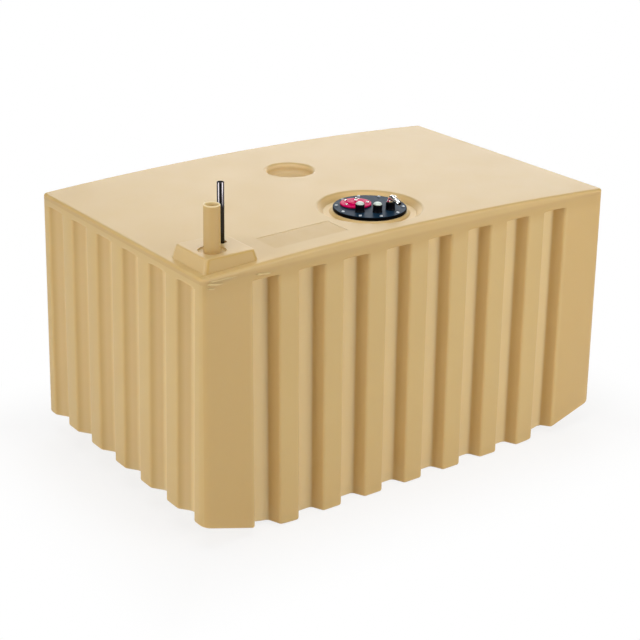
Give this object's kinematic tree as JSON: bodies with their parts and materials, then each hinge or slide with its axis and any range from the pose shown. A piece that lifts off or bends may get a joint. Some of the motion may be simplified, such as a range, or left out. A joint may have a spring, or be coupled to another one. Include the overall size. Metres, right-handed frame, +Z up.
{
  "type": "fuel storage tank",
  "caption": "Moulded polyethylene fuel tank with fluted walls, a crowned deck, a filler spout and vent tube on a corner pad, and a round sender plate with pick-up fittings",
  "frame": {"origin": "middle of the floor, on the plane the tank stands on", "axes": "+X along the length to the right, +Y to the back, +Z up; the fluted front long side faces -Y"},
  "size_m": [1.1082, 0.691, 0.745],
  "materials": {
    "shell": "satin moulded polyethylene, natural tan",
    "black_plastic": "semi-gloss black",
    "black_rubber": "matte",
    "red_plastic": "glossy red",
    "bright_steel": "bright",
    "chrome": "polished"
  },
  "bodies": {
    "root": {"tank_body": "shell", "tank_deck": "shell", "plate_gasket": "black_rubber", "sender_plate": "black_plastic", "plate_screws": "bright_steel", "sender_gasket": "black_rubber", "sender_head": "red_plastic", "sender_screws": "bright_steel", "sender_terminal": "bright_steel", "left_fitting": "black_plastic", "middle_fitting": "black_plastic", "right_fitting": "black_plastic", "left_plug": "bright_steel", "middle_plug": "bright_steel", "hose_elbow": "chrome", "vent_tube": "black_plastic"}
  },
  "joints": []
}
